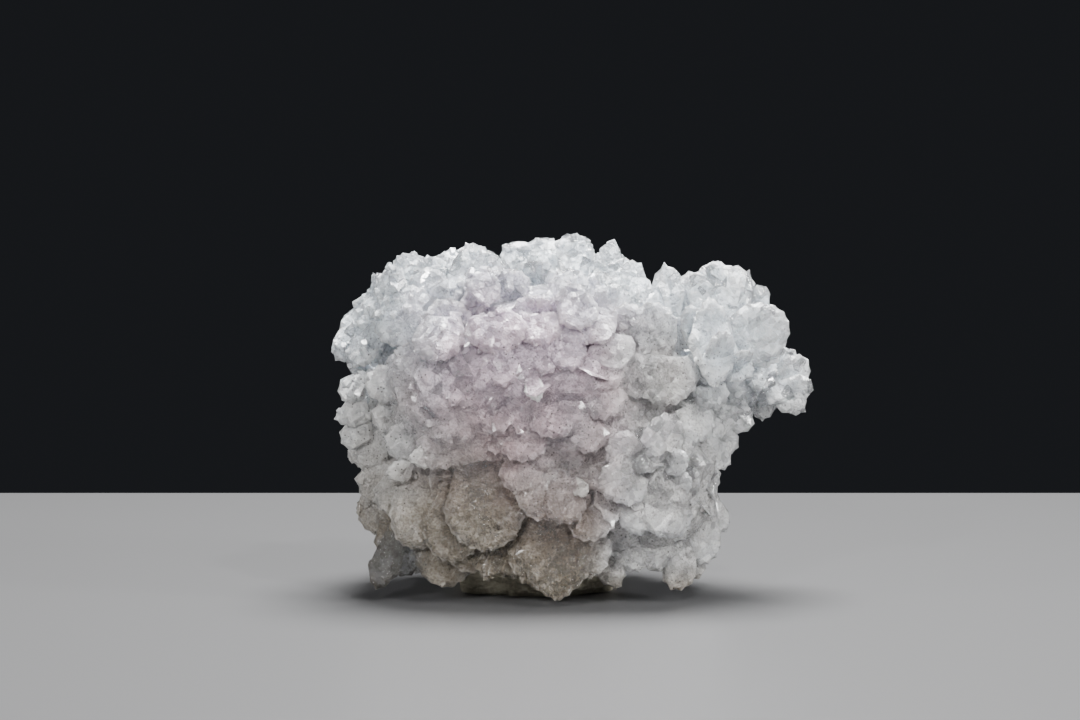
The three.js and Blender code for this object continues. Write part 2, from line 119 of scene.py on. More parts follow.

# Growth heads: the middle that a head's petals lean away from, then its placed petals, each
# (name, tip, root, width, how pointed its tip is from 0 to 1).
HEADS = {
    "right_flower": ((23, -10, 31.5), [
        ("keel", (22, -16.5, 26.5), (21.5, -10.5, 34), 7.5, 0.9),
        ("fan_top", (22.5, -3, 41.7), (22.5, -5, 34.5), 8, 0.35),
        ("fan_top_left", (19.5, -3.5, 40.5), (21.5, -5, 34.5), 5.4, 0.3),
        ("fan_top_right", (25.5, -2, 41), (24, -5, 35), 5.8, 0.15),
        ("fan_tooth", (29, 0, 38.5), (27, -3, 35), 4, 0.6),
        ("wing_right", (31.2, -6.5, 35), (23.5, -7, 30.5), 7.6, 0.15),
        ("wing_low", (31, -5.5, 32.5), (25, -6, 30), 6, 0.2),
        ("spike_left", (17, -2, 41), (17.5, -4.5, 35.5), 4.4, 0.55),
        ("spike_foot", (15.2, -4, 38), (16, -5.5, 34), 4.5, 0.1),
        ("leaf_left", (19, -9, 36.5), (21, -8.5, 29), 4.8, 0.4),
        ("leaf_middle", (21.5, -10.5, 37.5), (22, -9.5, 29.5), 6.6, 0.6),
        ("heart_point", (22.5, -15.5, 33.5), (22.5, -11, 28), 5, 0.3),
        ("heart_right", (26, -11, 31), (23.5, -8, 28), 5, 0.2),
        ("leaf_low", (27, -9, 28), (23, -8, 29.5), 5, 0.4),
        ("bud_left", (20, -13, 31), (21.5, -11, 28), 3.5, 0.2),
    ]),
    "far_right_tip": ((31, -4, 26.5), [
        ("tooth_high", (32.5, -2, 30.5), (29.5, -3, 27), 4.8, 0.2),
        ("tooth_mid", (34.5, -2, 29), (30.5, -3, 26), 4.8, 0.15),
        ("tooth_low", (35, -3, 26), (30.5, -3, 25), 4, 0.15),
        ("prism", (34, -4, 23), (30.5, -3, 25.5), 4.2, 0.6),
        ("prism_wide", (31.5, -4, 24), (29.5, -3, 26.5), 5.8, 0.3),
        ("apron", (29, -6, 25.5), (28, -4, 28), 4.5, 0.2),
        ("neck", (27, -5, 24), (25.5, -4, 27.5), 6, 0),
    ]),
    "shoulder": ((13, -15, 30), [
        ("shield", (14.5, -13.5, 37), (14.5, -12.5, 28.5), 6, 0),
        ("shield_low", (16, -16, 24.5), (16, -14.5, 29.5), 8.5, 0.05),
        ("shield_left", (12, -16.5, 25.5), (12.5, -15, 30), 6, 0.1),
        ("block", (7.5, -17.5, 32), (8, -15, 35), 4.2, 0),
        ("plate_left", (6, -18, 34), (4.5, -15, 37.5), 5.2, 0),
        ("plate_right", (11, -14, 37), (11.5, -13, 33), 4.5, 0.1),
        ("plate_under", (9, -17.5, 28.5), (9.5, -15.5, 32.5), 6, 0),
    ]),
    "crown_front": ((-1, -14, 37), [
        ("arch", (-3.5, -10.5, 41), (-3, -9, 37.5), 5.2, 0),
        ("arch_low", (-0.5, -14, 38), (-0.5, -13, 34), 5.2, 0),
        ("arch_right", (3.5, -13, 38), (3.5, -12.5, 34.5), 4.5, 0),
        ("spade", (-6, -15.5, 36.5), (-6.5, -13, 40), 4.2, 0.75),
        ("spade_left", (-8, -12.5, 39), (-7.5, -12.5, 36), 3.5, 0.6),
        ("step_left", (-4.5, -18.5, 31), (-5, -16, 35), 7.8, 0),
        ("step_right", (1, -18, 32), (0.5, -15.5, 35), 6, 0),
        ("step_end", (5, -17.5, 31.5), (4.5, -15.5, 34.5), 4.6, 0),
        ("shard", (8.5, -7, 40.5), (8, -9, 37), 5, 0.3),
        ("shard_left", (4, -8, 41), (4, -9.5, 37.5), 5, 0.1),
        ("shard_low", (10.5, -13, 35), (9, -11.5, 38), 4.5, 0.2),
    ]),
    "upper_left": ((-13, -14, 34), [
        ("disc_rim", (-12, -18.5, 30), (-11.5, -15.5, 34.5), 6.6, 0),
        ("disc_low", (-17, -13.5, 31.5), (-16.5, -11, 37.5), 6.8, 0),
        ("disc_top", (-11, -13.5, 37.5), (-10.5, -13, 34), 5.8, 0),
        ("disc_back", (-14, -8, 41), (-13, -9, 37), 5.5, 0.1),
        ("disc_side", (-20.5, -9, 35), (-19, -7, 38), 4.5, 0),
        ("scallop_low", (-12.5, -17.5, 26.5), (-12, -15.5, 30), 4.2, 0),
    ]),
    "crown": ((2, 2, 43), [
        ("crest_middle_left", (-2.5, 4, 44), (-2, 0, 40), 4.6, 0),
        ("crest_middle", (1, 4, 44.5), (1, 0, 40), 5, 0.05),
        ("crest_right", (5, 2, 45), (4.5, -1, 40), 5.4, 0.05),
        ("crest_peak", (10, -1, 44), (8.5, -3, 39.5), 4, 0.75),
        ("crest_end", (13, -2, 41.5), (11, -4, 38.5), 3.8, 0.2),
        ("crest_edge", (14, -3, 39.5), (12, -6, 37), 3.2, 0.3),
        ("crest_left", (-7, 4, 42.5), (-6, 0, 39), 4.5, 0),
        ("crest_far_left", (-11, 1, 43), (-10, -2, 40), 5, 0),
        ("crest_slope", (-17, -2, 42.5), (-15, -4, 38.5), 4.8, 0),
        ("crest_between", (-14, -1, 42), (-12.5, -3, 39), 4.4, 0),
        ("crest_foot", (-19.5, -3, 39.5), (-17.5, -5, 37.5), 4.6, 0),
    ]),
    "left_rim": ((-24, -4, 28), [
        ("long_blade", (-24.5, -4, 31.5), (-19, -5.5, 37.5), 5.6, 0.1),
        ("long_blade_under", (-25.5, -5.5, 30), (-20.5, -6.5, 34), 4.8, 0),
        ("rim_fold", (-23, -8, 29), (-19.5, -8, 33.5), 4.6, 0),
        ("tooth_high", (-24.5, -8, 25), (-21.5, -9, 27), 3.6, 0.1),
        ("tooth_mid", (-25, -8, 22), (-21.5, -9, 23.5), 3.6, 0.75),
        ("tooth_low", (-24.5, -8, 20), (-21, -9, 20.5), 3.6, 0.1),
        ("keel_low", (-21.5, -8.5, 16), (-19.5, -9, 20), 4.4, 0.3),
    ]),
    "middle": ((-1, -19, 27), [
        ("scale_left", (-8.5, -19, 24.5), (-8.5, -16, 29), 6.8, 0),
        ("scale_left_low", (-7, -18.5, 22), (-6.5, -16.5, 25.5), 5.4, 0.1),
        ("bright_facet", (0.3, -20.2, 25.3), (-0.6, -17.5, 28.3), 2.6, 1.0),
        ("facet_left", (-3.5, -19.5, 27), (-4, -17, 30), 4.4, 0.3),
        ("scale_right", (8.5, -18, 26.5), (8, -16, 30), 6.4, 0),
        ("scale_high", (4.5, -19, 29), (3.5, -16.5, 32), 4.6, 0),
        ("scale_middle", (3, -20, 21), (2, -17, 25.5), 7.6, 0.05),
        ("scale_low_left", (-4.5, -19, 21), (-4.5, -17, 25), 6, 0),
        ("scale_side", (8.5, -18.5, 23), (8, -16.5, 26.5), 6, 0.1),
        ("scale_low_right", (6.5, -19, 19), (6, -17, 22.5), 5.4, 0.1),
        ("scale_low_middle", (-1.5, -19.5, 18), (-1.5, -17, 21.5), 6.4, 0),
        ("chip_mauve", (1.5, -19, 28.5), (1, -16.5, 31), 3.6, 0.2),
    ]),
    "left_face": ((-17, -13, 22), [
        ("plate_high", (-21, -12, 26.5), (-16, -11.5, 27), 5, 0.1),
        ("plate_low", (-18.5, -15, 19.5), (-13.5, -14, 20.5), 5.6, 0.3),
        ("plate_inner", (-14.5, -17, 23), (-11.5, -15.5, 26), 6.4, 0.1),
        ("plate_upper", (-16.5, -14.5, 28), (-14, -13, 31), 5.6, 0),
        ("plate_corner", (-20, -12, 22), (-16.5, -11.5, 23.5), 4.8, 0.1),
        ("glint_high", (-15.5, -17.3, 18), (-12.5, -15.5, 18.5), 3.0, 0.8),
        ("glint_low", (-18.5, -15.5, 16.3), (-15.5, -14.5, 16.5), 3.2, 0.8),
        ("plate_under", (-13, -17, 17), (-11, -15.5, 20.5), 5.8, 0.1),
    ]),
    "lower_left": ((-11, -15, 14), [
        ("shell", (-6, -18.5, 7), (-6.5, -16, 15.5), 10, 0.1),
        ("skirt_middle", (-16.5, -15.5, 7.5), (-12, -14, 14), 8.6, 0.3),
        ("skirt_bridge", (-11, -17, 5.5), (-9.5, -14.5, 13), 7.6, 0.2),
        ("skirt_left", (-12.5, -15, 2.4), (-10.5, -13, 8), 7.4, 0),
        ("skirt_right", (-8.5, -16, 4), (-8, -14, 8.5), 5.6, 0),
        ("finger", (-6, -17, 3.5), (-5.5, -15, 7), 3.2, 0),
        ("claw", (-19.5, -13, 1.5), (-17.5, -12, 9), 4, 0.7),
        ("claw_inner", (-17.5, -12, 3.5), (-14, -11, 7), 3.6, 0.2),
        ("flank_low", (-21, -7, 8), (-19.5, -8.5, 13), 5.4, 0),
        ("flank_high", (-21, -9, 12), (-19, -9.5, 16.5), 4.8, 0),
        ("flank_inner", (-18.5, -13.5, 11), (-16, -12.5, 16), 5.4, 0),
        ("web", (-18.5, -10, 5), (-17, -9.5, 12), 4.6, 0),
    ]),
    "lower_middle": ((3, -17, 13), [
        ("fan", (3, -19, 1), (2.5, -16, 10.5), 10.4, 0.55),
        ("fan_left", (-0.5, -17.5, 2.5), (0.5, -15.5, 9), 7, 0.2),
        ("fan_far_left", (-3.5, -16.5, 3.5), (-2.5, -14.5, 9), 5.6, 0.1),
        ("fan_right", (6.5, -18, 3.5), (5.5, -15.5, 10), 6.8, 0.3),
        ("tooth_inner", (10, -15.5, 2), (8, -13.5, 7), 4.6, 0.6),
        ("tooth_outer", (12.5, -15.5, 4), (10.5, -13.5, 9.5), 6, 0.3),
        ("lip_left", (0, -20, 11), (1, -17, 16), 6.2, 0),
        ("lip_middle", (3.5, -20.5, 10.5), (3.5, -18, 15), 5.4, 0),
        ("lip_right", (7.5, -20, 8.5), (6.5, -17, 13), 6.2, 0),
        ("lip_high", (-2, -19, 14), (-1.5, -17, 18), 5.6, 0),
        ("hollow_left", (-3, -17.5, 11), (-2.5, -15.5, 14), 4.2, 0.1),
    ]),
    "lower_right": ((14, -17, 16), [
        ("crest", (14.5, -19.5, 23.5), (16, -17.5, 19), 5.6, 0),
        ("crest_foot", (13.5, -19, 16.5), (13, -16, 21), 5.8, 0.1),
        ("crest_side", (18, -17.5, 22.5), (17.5, -16, 18.5), 4.2, 0.1),
        ("pebble_low", (7.5, -20.5, 15.5), (11.5, -18, 16), 5.4, 0.1),
        ("pebble_high", (8.5, -19.5, 20), (12, -17.5, 18.5), 5.2, 0),
        ("chip_high", (18.5, -18.5, 18.5), (16, -17, 17.5), 3.8, 0.4),
        ("chip_low", (19, -17.5, 15.5), (16.5, -16, 15), 3.6, 0.3),
        ("lens", (10, -20, 13), (12, -17.5, 16), 5, 0.1),
        ("apron", (16, -18.5, 8.5), (15.5, -16, 14), 6.8, 0),
        ("apron_left", (12, -18.5, 9), (12.5, -16.5, 13.5), 5.4, 0.2),
        ("chip_white", (6, -20.2, 14), (4.8, -18, 15.5), 2.2, 0.6),
        ("sugar_left", (14.5, -15, 4), (15, -13.5, 9.5), 5, 0),
    ]),
    "right_wall": ((23, -6, 14), [
        ("tall", (21, -12, 4.5), (20.5, -10.5, 12.5), 5, 0.15),
        ("tall_right", (23, -9.5, 8), (21, -8.5, 13.5), 4.4, 0.1),
        ("sugar_middle", (17.5, -14, 1.5), (18, -12.5, 7), 4.8, 0.1),
        ("sugar_right", (19.5, -12, 2.5), (19, -11, 6.5), 4, 0.1),
        ("edge_top", (27.5, -4, 21.5), (23.5, -5, 23), 4.6, 0.2),
        ("edge_high", (25.5, -5, 18.5), (21.5, -6.5, 21), 4.4, 0.3),
        ("edge_middle", (24.5, -6, 16.5), (21, -8, 18.5), 4, 0.5),
        ("edge_low", (23, -7, 14), (19.5, -9, 16), 4, 0.3),
        ("edge_foot", (22.5, -8, 11.5), (20, -9, 14), 3.8, 0.2),
        ("wall_inner", (21, -12.5, 20), (19, -11.5, 23.5), 5.6, 0.1),
        ("wall_high", (23, -10.5, 24), (21, -10, 26.5), 5.4, 0.1),
        ("wall_low", (20.5, -13, 13.5), (19, -12.5, 17.5), 5, 0.1),
    ]),
    "flower_back": ((24, 8, 33), []),
    "back_crown_left": ((-9, 12, 38), []),
    "back_crown_right": ((9, 12, 37), []),
    "back_left": ((-20, 10, 26), []),
    "back_middle": ((-1, 18, 25), []),
    "back_right": ((20, 11, 22), []),
    "back_low_left": ((-12, 14, 12), []),
    "back_low_right": ((10, 15, 11), []),
}

# How a petal is made.
PETAL = {
    "root_width": 0.62,  # over its full width
    "middle": 0.55,  # how far its middle lies below its tip, over its width
    "lowest_middle": 0.3,  # the least height of its middle, over its length
    "skew": 0.12,  # how far it leans sideways at most
    "thickness": 0.27,  # over its width
    "flat_from": 4.0, "flatter": 0.2,  # beyond this width in millimetres, only this share makes it thicker
    "tooth": 0.75, "flake_tooth": 0.4,  # how wide the teeth of its rim are, in millimetres
    "tooth_depth": 0.22, "tooth_least": 0.6, "tooth_spread": 0.4,  # how far they stand out
    "teeth_from": 0.2,  # the height that they start at, over its length
    "shoulder": 0.83, "shoulder_spread": 0.07,  # how far out its shoulder lies
    "shoulder_lift": 0.74, "lift_spread": 0.3,  # how much of its thickness it has there
    "crest_shift": 0.2,  # how far its highest points lie off its middle at most, over its width
}
# Its outline. lowest: the least height of its widest place, over its length. top: how far that place lies
# below the tip, over its width, and longer: how much further on a pointed petal. side_step: how many teeth
# apart the points of its straight sides are. arc_points: how many its arc has per tooth. straighter: how much
# straighter a pointed petal's arc is.
OUTLINE = {"lowest": 0.3, "top": 0.5, "longer": 0.3, "side_step": 2.2, "arc_points": 0.8, "straighter": 0.8}
# Where it counts as rim: from how far out, how wide that band is, and how it fades towards the root.
RIM_BAND = {"from": 0.7, "wide": 0.3, "slope": 3, "root": 0.6}
# The petals of the coat, which are one unit long and wide: one for each way of being pointed.
COAT_PETALS = {"pointed": (0.0, 0.3, 0.6, 0.9), "bend": 0.1, "thickness": 0.12, "tooth": 0.2}

# The numbers of a common linear congruential generator.
WOBBLE = {"factor": 1664525, "step": 1013904223, "range": 2**32}


def wobble_stream(seed):
    """A repeatable stream of numbers from -1 to 1."""
    state = seed
    while True:
        state = (state * WOBBLE["factor"] + WOBBLE["step"]) % WOBBLE["range"]
        yield state / (WOBBLE["range"] // 2) - 1


def random_way(wobble):
    return Vector((next(wobble), next(wobble), next(wobble)))


def outness(core, point):
    """How far out from a core's middle a point lies: 1 at its surface."""
    parts = [abs((p - c) / h) ** core["power"] for p, c, h in zip(point, core["centre"], core["half"])]
    return sum(parts) ** (1 / core["power"])


def facing_at(core, point):
    """The way a core's surface faces near a point."""
    parts = [(p - c) / h for p, c, h in zip(point, core["centre"], core["half"])]
    slopes = [math.copysign(abs(p) ** (core["power"] - 1), p) / h for p, h in zip(parts, core["half"])]
    return Vector(slopes).normalized()


def lean_at(point, facing):
    """The way along the surface from the middle of the nearest head."""
    middle = min((Vector(at) for at, _ in HEADS.values()), key=lambda at: (point - at).length)
    lean = point - middle
    return (lean - facing * lean.dot(facing)).normalized()


def placed_petal(name, tip, root, broad, pointed):
    """A row of a head as (tip, root, width, facing, how pointed, the stalk's root, tone)."""
    tip, root = Vector(tip), Vector(root)
    tone = TONES_AND_GLINTS.get(name)
    if root.y < RAKE["front"] and (tone or 0) < PAINTED_GLINT_TONE:
        tip.y = root.y + (tip.y - root.y) * RAKE["share"]
    core = min(CORES.values(), key=lambda each: outness(each, root))
    facing = (facing_at(core, root) + PLACED["turned"] * Vector(FRONT)).normalized()
    start = root + (root - tip) * PLACED["buried"]
    stalk = start.lerp(Vector(core["centre"]), STALK["inward"])
    return tip, start, broad, facing, pointed, stalk, tone


def evenly_spread(core):
    """Places all over a core's surface, spread by the golden angle."""
    centre = Vector(core["centre"])
    for i in range(core["cover"]):
        back = 1 - 2 * (i + 0.5) / core["cover"]
        around = math.sqrt(1 - back * back)
        turn = i * GOLDEN_ANGLE
        way = Vector((around * math.cos(turn), back, around * math.sin(turn)))
        base = way * Vector(core["half"]) + centre
        yield base.lerp(centre, 1 - 1 / outness(core, base))


def covering_petals(core, wobble, placed):
    """The petals that cover a core by themselves, as (tip, root, width, facing)."""
    petals = []
    for base in evenly_spread(core):
        rise = core["rise"] * (1 + next(wobble) * COVER["rise_spread"])
        broad = core["rise"] * COVER["broad"] * (1 + next(wobble) * COVER["broad_spread"])
        facing = facing_at(core, base)
        lean = lean_at(base, facing) + random_way(wobble) * COVER["lean_spread"]
        along = facing + lean * COVER["lean"]
        tip = base + along * rise
        root = base - along.normalized() * core["rise"] * COVER["depth"]
        crowded = any((other[0] - tip).length < core["rise"] * COVER["elbow"] for other in placed)
        inside = any(other is not core and outness(other, tip) < 1 for other in CORES.values())
        in_front = facing.y < COVER["front"]
        if not crowded and not inside and not in_front and tip.z >= LOWEST_TIP:
            petals.append((root.lerp(tip, COVER["trimmed"]), root, broad * COVER["trimmed"], facing))
    return petals


# ---- Meshes ------------------------------------------------------------------------------------------------

def petal_side(length, broad, pointed, tooth):
    """One side of a petal's outline, from root to tip, as (height, half width)."""
    top = OUTLINE["top"] + OUTLINE["longer"] * pointed
    widest = max(length * OUTLINE["lowest"], length - broad * top)
    rise = length - widest
    straight = max(2, round(widest / (tooth * OUTLINE["side_step"])))
    arc = max(4, round((rise + broad / 2) / tooth * OUTLINE["arc_points"]))
    bend = 2 / (2 - OUTLINE["straighter"] * pointed)
    side = []
    for k in range(straight):
        share = k / straight
        width = PETAL["root_width"] + (1 - PETAL["root_width"]) * share
        side.append((widest * share, broad / 2 * width))
    for k in range(arc):
        turn = math.pi / 2 * k / arc
        side.append((widest + rise * math.sin(turn) ** bend, broad / 2 * math.cos(turn) ** bend))
    return side


def petal_outline(length, broad, pointed, tooth):
    """A petal's whole outline: up one side, over the tip, down the other side and back to the root."""
    side = petal_side(length, broad, pointed, tooth)
    return side + [(length, 0)] + [(height, -width) for height, width in reversed(side)] + [(0, 0)]


def petal_faces(count):
    """The triangles of a petal with count points on its rim, then its shoulders' and its two highest ones."""
    faces = []
    for k in range(count // 2):
        near = (k + 1) % (count // 2)
        for under in (0, 1):
            rim = [2 * k, 2 * k + 1, (2 * k + 2) % count]
            shoulder = [count + 2 * k + under, count + 2 * near + under]
            strips = [
                [rim[0], rim[1], shoulder[0]],
                [rim[1], rim[2], shoulder[1]],
                [shoulder[0], rim[1], shoulder[1]],
                [shoulder[0], shoulder[1], 2 * count + under],
            ]
            faces += strips if under else [face[::-1] for face in strips]
    return faces


def petal_thickness(broad):
    """How thick a placed petal is: wide ones are flatter."""
    extra = max(0, broad - PETAL["flat_from"])
    return PETAL["thickness"] * (broad - extra * (1 - PETAL["flatter"]))


def rim_share(share, height):
    """How near a petal's rim a point lies: 1 at the rim, 0 well inside it and at the root."""
    fade = min(1, max(0, height * RIM_BAND["slope"] - RIM_BAND["root"]))
    return max(0, share - RIM_BAND["from"]) / RIM_BAND["wide"] * fade


class ShardMesh:
    """Closed shards gathered in one mesh. Each has a number on its faces, and on its points the way that it
    grows, how densely smaller ones coat it, how near its rim they lie, and a tone of its own, which on the
    bright flakes paints a glint."""

    def __init__(self):
        self.points, self.faces, self.shards = [], [], []
        self.grows, self.coats, self.rims, self.tones = [], [], [], []
        self.count = 0

    def add(self, points, faces, grows, coat, rims, tone):
        first = len(self.points)
        self.points += [point * MM for point in points]
        self.faces += [[first + k for k in face] for face in faces]
        self.shards += [self.count] * len(faces)
        self.grows += grows
        self.coats += [coat] * len(points)
        self.rims += rims
        self.tones += [tone] * len(points)
        self.count += 1

    def add_petal(self, tip, root, broad, facing, pointed, thick, coat, wobble,
                  tooth=PETAL["tooth"], tone=None):
        """A flat petal with a toothed rim, a sloping shoulder and a highest point of its own on each side."""
        along = tip - root
        length = along.length
        along = along.normalized()
        across = facing.cross(along).normalized()
        flat = along.cross(across)
        outline = petal_outline(length, broad, pointed, tooth)
        middle = max(length * PETAL["lowest_middle"], length - broad * PETAL["middle"])
        skew = PETAL["skew"] * next(wobble)
        half = thick / 2

        def place(reach, lift=0.0):
            sideways = across * (reach.x + skew * reach.y)
            return root + sideways + along * (middle + reach.y) + flat * lift * half

        points, rims = [], []
        for k, (height, width) in enumerate(outline):
            reach = Vector((width, height - middle))
            if height > length * PETAL["teeth_from"]:
                step = PETAL["tooth_least"] + PETAL["tooth_spread"] * next(wobble)
                step = step * (1 if k % 2 else -1) * tooth / PETAL["tooth"]
                reach += reach.normalized() * step * PETAL["tooth_depth"]
            points.append(place(reach))
            rims.append(rim_share(1, height / length))
        for height, width in outline[::2]:
            out = PETAL["shoulder"] + PETAL["shoulder_spread"] * next(wobble)
            shoulder = Vector((width, height - middle)) * out
            for way in (1, -1):
                lift = way * PETAL["shoulder_lift"] * (1 + PETAL["lift_spread"] * next(wobble))
                points.append(place(shoulder, lift))
                rims.append(rim_share(PETAL["shoulder"], height / length))
        for way in (1, -1):
            shift = Vector((next(wobble), next(wobble))) * PETAL["crest_shift"] * broad
            points.append(place(shift, way))
            rims.append(0)
        own_tone = next(wobble)
        tone = own_tone if tone is None else tone
        self.add(points, petal_faces(len(outline)), [along] * len(points), coat, rims, tone)

    def add_core(self, core):
        """A core of flat faces, whose growth leads away from the middle of the nearest head."""
        ball = bmesh.new()
        bmesh.ops.create_icosphere(ball, subdivisions=4, radius=1)
        unit = {**core, "centre": (0, 0, 0), "half": (1, 1, 1)}
        width, shuffle = CORE_FACES["width"], CORE_FACES["shuffle"]
        points, grows = [], []
        for vert in ball.verts:
            place = vert.co / outness(unit, vert.co)
            place = place * Vector(core["half"]) + Vector(core["centre"])
            facing = facing_at(core, place)
            middle = noise.voronoi(place / width)[1][0] * width
            tilt = (noise.cell_vector(middle * shuffle) - Vector((0.5, 0.5, 0.5))) * CORE_FACES["tilt"]
            points.append(place + facing * (place - middle).dot(tilt))
            grows.append((facing * CORE_FACES["outwards"] + lean_at(place, facing)).normalized())
        faces = [[vert.index for vert in face.verts] for face in ball.faces]
        self.add(points, faces, grows, core["coat"], [0] * len(points), 0)
        ball.free()

    def to_object(self, name):
        mesh = bpy.data.meshes.new(name)
        mesh.from_pydata(self.points, [], self.faces)
        shard = mesh.attributes.new("shard", "INT", "FACE")
        shard.data.foreach_set("value", self.shards)
        for layer, values in (("coat", self.coats), ("rim", self.rims), ("tone", self.tones)):
            mesh.attributes.new(layer, "FLOAT", "POINT").data.foreach_set("value", values)
        grow = mesh.attributes.new("grow", "FLOAT_VECTOR", "POINT")
        grow.data.foreach_set("vector", [part for way in self.grows for part in way])
        return link_mesh(name, mesh)


def link_mesh(name, mesh):
    piece = bpy.data.objects.new(name, mesh)
    bpy.context.scene.collection.objects.link(piece)
    return piece


def add_placed(shards, petal, wobble):
    """A placed petal and its stalk."""
    tip, root, broad, facing, pointed, stalk, tone = petal
    tooth = PETAL["flake_tooth"] if (tone or 0) >= PAINTED_GLINT_TONE else PETAL["tooth"]
    thick = petal_thickness(broad)
    shards.add_petal(tip, root, broad, facing, pointed, thick, PLACED["coat"], wobble, tooth, tone)
    tip = root.lerp(tip, STALK["overlap"])
    broad = broad * STALK["width"]
    pointed, thick = STALK["pointed"], petal_thickness(broad)
    shards.add_petal(tip, stalk, broad, facing, pointed, thick, STALK["coat"], wobble, STALK["tooth"])


def petal_mass():
    """The cores and every petal on them, still separate, in one mesh."""
    shards = ShardMesh()
    wobble = wobble_stream(SEED)
    placed = [placed_petal(*row) for _, rows in HEADS.values() for row in rows]
    covering = [petal for core in CORES.values() for petal in covering_petals(core, wobble, placed)]
    for core in [*CORES.values(), *FILLS.values()]:
        shards.add_core(core)
    for petal in placed:
        add_placed(shards, petal, wobble)
    for tip, root, broad, facing in covering:
        thick = PETAL["thickness"] * broad
        shards.add_petal(tip, root, broad, facing, COVER["pointed"], thick, COVER["coat"], wobble)
    return shards.to_object("amethyst_growth")


def petal_kinds():
    """A handful of petals with the tip at the origin and the root one unit below, for the coats."""
    shards = ShardMesh()
    wobble = wobble_stream(SEED + 1)
    tip, facing, broad = Vector((0, 0, 0)), Vector((0, 1, 0)), 1 / MM
    thick, tooth = COAT_PETALS["thickness"] / MM, COAT_PETALS["tooth"] / MM
    for pointed in COAT_PETALS["pointed"]:
        root = Vector((COAT_PETALS["bend"] * pointed, 0, -1)) / MM
        shards.add_petal(tip, root, broad, facing, pointed, thick, 0.0, wobble, tooth)
    return shards.to_object("petal_kinds")


def stone_shape(ball, grow, roughness):
    """Turns a ball into a lumpy pebble, pitted by roughness millimetres."""
    unit = {"centre": (0, 0, 0), "half": (1, 1, 1), "power": STONE["power"]}
    half = Vector((STONE["wide"] / 2, STONE["deep"] / 2, STONE["tall"] * STONE["half_tall"]))
    middle = Vector((0, 0, STONE["tall"] * STONE["middle"]))
    for vert in ball.verts:
        place = vert.co / outness(unit, vert.co)
        # A few broad lumps, from -2 to 0.
        lump = math.sin(5 * place.x + 1) * math.sin(4 * place.y + 2 * place.z) - 1
        size = half + Vector((1, 1, 1)) * (grow + lump * STONE["lumps"] / 2)
        pit = noise.fractal(place * PITS["scale"], PITS["h"], PITS["lacunarity"], PITS["octaves"])
        place = place * size + vert.co * min(0, pit - PITS["level"]) * roughness
        vert.co = (place + middle) * MM


def stone_mesh(name, grow, roughness):
    """The matrix stone, grown all round, cut off flat where it rests."""
    ball = bmesh.new()
    bmesh.ops.create_icosphere(ball, subdivisions=6 if roughness else 4, radius=1)
    stone_shape(ball, grow, roughness)
    geometry = ball.verts[:] + ball.edges[:] + ball.faces[:]
    floor = Vector((0, 0, 0 if roughness else -grow * MM))
    cut = bmesh.ops.bisect_plane(ball, geom=geometry, plane_co=floor, plane_no=(0, 0, -1), clear_outer=True)
    rim = [edge for edge in cut["geom_cut"] if isinstance(edge, bmesh.types.BMEdge)]
    bmesh.ops.contextual_create(ball, geom=rim)
    bmesh.ops.triangulate(ball, faces=[face for face in ball.faces if len(face.verts) > 4])
    bmesh.ops.recalc_face_normals(ball, faces=ball.faces)
    mesh = bpy.data.meshes.new(name)
    ball.to_mesh(mesh)
    ball.free()
    return link_mesh(name, mesh)


# ---- Node graphs -------------------------------------------------------------------------------------------

def sign(operation, swapped=False):
    """An arithmetic sign between fields and numbers."""

    def apply(field, other):
        return field.graph.math(operation, *((other, field) if swapped else (field, other)))

    return apply


class Field:
    """A node's output that sums can be written with."""

    def __init__(self, graph, socket):
        self.graph = graph
        self.socket = socket

    __add__ = __radd__ = sign("ADD")
    __mul__ = __rmul__ = sign("MULTIPLY")
    __sub__ = sign("SUBTRACT")
    __rsub__ = sign("SUBTRACT", swapped=True)
    __rtruediv__ = sign("DIVIDE", swapped=True)

    def at_least(self, low):
        return self.graph.math("MAXIMUM", self, low)

    def clamped(self, low, high):
        return self.graph.math("MINIMUM", self.at_least(low), high)

    def ramp(self, low, high):
        """0 below low, 1 above high, and smooth between."""
        sockets = {"Value": self, "From Min": low, "From Max": high}
        return self.graph.make("ShaderNodeMapRange", {"interpolation_type": "SMOOTHSTEP"}, sockets)


